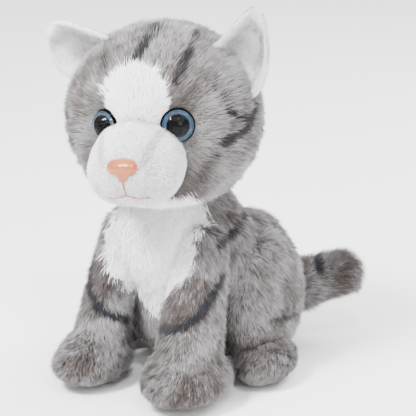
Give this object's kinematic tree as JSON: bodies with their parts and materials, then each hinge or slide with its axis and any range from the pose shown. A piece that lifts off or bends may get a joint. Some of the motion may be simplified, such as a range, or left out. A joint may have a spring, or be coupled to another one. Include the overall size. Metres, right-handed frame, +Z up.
{
  "type": "plush cat",
  "caption": "Sitting soft toy cat with a round head, white muzzle and bib, domed plastic eyes, a plastic nose and a sideways tail.",
  "frame": {"origin": "middle of the flat seat patch, on the surface the cat sits on", "axes": "+Z up; the cat's body faces -Y; its left side is +X"},
  "size_m": [0.124, 0.1706, 0.1938],
  "materials": {
    "grey_plush": "long pile plush, silver tips over brown-grey roots, airbrushed dark stripes",
    "white_plush": "medium pile white plush",
    "short_white_plush": "short pile white plush",
    "polyester_fill": "loose polyester fibre filling",
    "pouch_cloth": "thin woven pouch",
    "plastic_pellets": "small weighting pellets",
    "seam_thread": "sewing thread",
    "pink_thread": "embroidery thread",
    "nose_plastic": "moulded glossy peach plastic",
    "washer_plastic": "locking washer",
    "black_plastic": "black moulded plastic",
    "iris_paint": "blue paint behind the dome",
    "clear_plastic": "clear domed plastic"
  },
  "bodies": {
    "torso": {"back_panel_left": "grey_plush", "back_panel_right": "grey_plush", "chest_panel": "white_plush", "seat_panel": "white_plush", "body_fill": "polyester_fill", "pellet_pouch": "pouch_cloth", "pellet_fill": "plastic_pellets", "closing_seam_thread": "seam_thread"},
    "neck": {"neck_gusset": "grey_plush"},
    "head": {"head_panel_left": "grey_plush", "head_panel_right": "grey_plush", "blaze_panel": "white_plush", "chin_panel": "white_plush", "muzzle_panel": "short_white_plush", "head_fill": "polyester_fill", "nose": "nose_plastic", "nose_washer": "washer_plastic", "mouth_thread": "pink_thread", "eye_left_back": "black_plastic", "eye_left_iris": "iris_paint", "eye_left_pupil": "black_plastic", "eye_left_dome": "clear_plastic", "eye_left_washer": "washer_plastic", "eye_right_back": "black_plastic", "eye_right_iris": "iris_paint", "eye_right_pupil": "black_plastic", "eye_right_dome": "clear_plastic", "eye_right_washer": "washer_plastic"},
    "tail_root": {"tail_root_skin": "grey_plush", "tail_root_fill": "polyester_fill"},
    "tail_end": {"tail_end_skin": "grey_plush", "tail_end_fill": "polyester_fill"},
    "ear_left": {"ear_left_back": "grey_plush", "ear_left_lining": "short_white_plush"},
    "front_leg_left": {"front_leg_left_outer_panel": "grey_plush", "front_leg_left_inner_panel": "grey_plush", "front_leg_left_fill": "polyester_fill"},
    "hind_leg_left": {"haunch_left_panel": "grey_plush", "hind_foot_left_panel": "grey_plush", "hind_leg_left_fill": "polyester_fill"},
    "ear_right": {"ear_right_back": "grey_plush", "ear_right_lining": "short_white_plush"},
    "front_leg_right": {"front_leg_right_outer_panel": "grey_plush", "front_leg_right_inner_panel": "grey_plush", "front_leg_right_fill": "polyester_fill"},
    "hind_leg_right": {"haunch_right_panel": "grey_plush", "hind_foot_right_panel": "grey_plush", "hind_leg_right_fill": "polyester_fill"}
  },
  "joints": [
    {"name": "neck_turn", "type": "hinge", "parent": "torso", "child": "neck", "pos_m": [0, -0.018, 0.076], "axis": [0, 0, 1], "range_deg": [-25, 25], "stiffness_Nm_per_rad": 0.4},
    {"name": "head_nod", "type": "hinge", "parent": "neck", "child": "head", "pos_m": [0, -0.018, 0.076], "axis": [1, 0, 0], "range_deg": [-8, 8], "stiffness_Nm_per_rad": 0.4},
    {"name": "front_leg_left_swing", "type": "hinge", "parent": "torso", "child": "front_leg_left", "pos_m": [0.02, -0.034, 0.074], "axis": [-1, 0, 0], "range_deg": [0, 30], "stiffness_Nm_per_rad": 0.25},
    {"name": "front_leg_right_swing", "type": "hinge", "parent": "torso", "child": "front_leg_right", "pos_m": [-0.02, -0.034, 0.074], "axis": [-1, 0, 0], "range_deg": [0, 30], "stiffness_Nm_per_rad": 0.25},
    {"name": "hind_leg_left_lift", "type": "hinge", "parent": "torso", "child": "hind_leg_left", "pos_m": [0.036, 0.004, 0.04], "axis": [-1, 0, 0], "range_deg": [0, 12], "stiffness_Nm_per_rad": 0.35},
    {"name": "hind_leg_right_lift", "type": "hinge", "parent": "torso", "child": "hind_leg_right", "pos_m": [-0.036, 0.004, 0.04], "axis": [-1, 0, 0], "range_deg": [0, 12], "stiffness_Nm_per_rad": 0.35},
    {"name": "tail_wag", "type": "hinge", "parent": "torso", "child": "tail_root", "pos_m": [0.005, 0.046, 0.031], "axis": [0, 0, 1], "range_deg": [-4, 40], "stiffness_Nm_per_rad": 0.08},
    {"name": "tail_curl", "type": "hinge", "parent": "tail_root", "child": "tail_end", "pos_m": [0.029, 0.056, 0.03], "axis": [0.5214, -0.8533, 0], "range_deg": [-12, 15], "stiffness_Nm_per_rad": 0.05},
    {"name": "ear_left_fold", "type": "hinge", "parent": "head", "child": "ear_left", "pos_m": [0.0362, -0.02066, 0.16301], "axis": [-0.5591, -0.2249, 0.798], "range_deg": [-12, 16], "stiffness_Nm_per_rad": 0.02},
    {"name": "ear_right_fold", "type": "hinge", "parent": "head", "child": "ear_right", "pos_m": [-0.03461, -0.04097, 0.16404], "axis": [-0.6242, -0.112, -0.7732], "range_deg": [-12, 16], "stiffness_Nm_per_rad": 0.02}
  ]
}
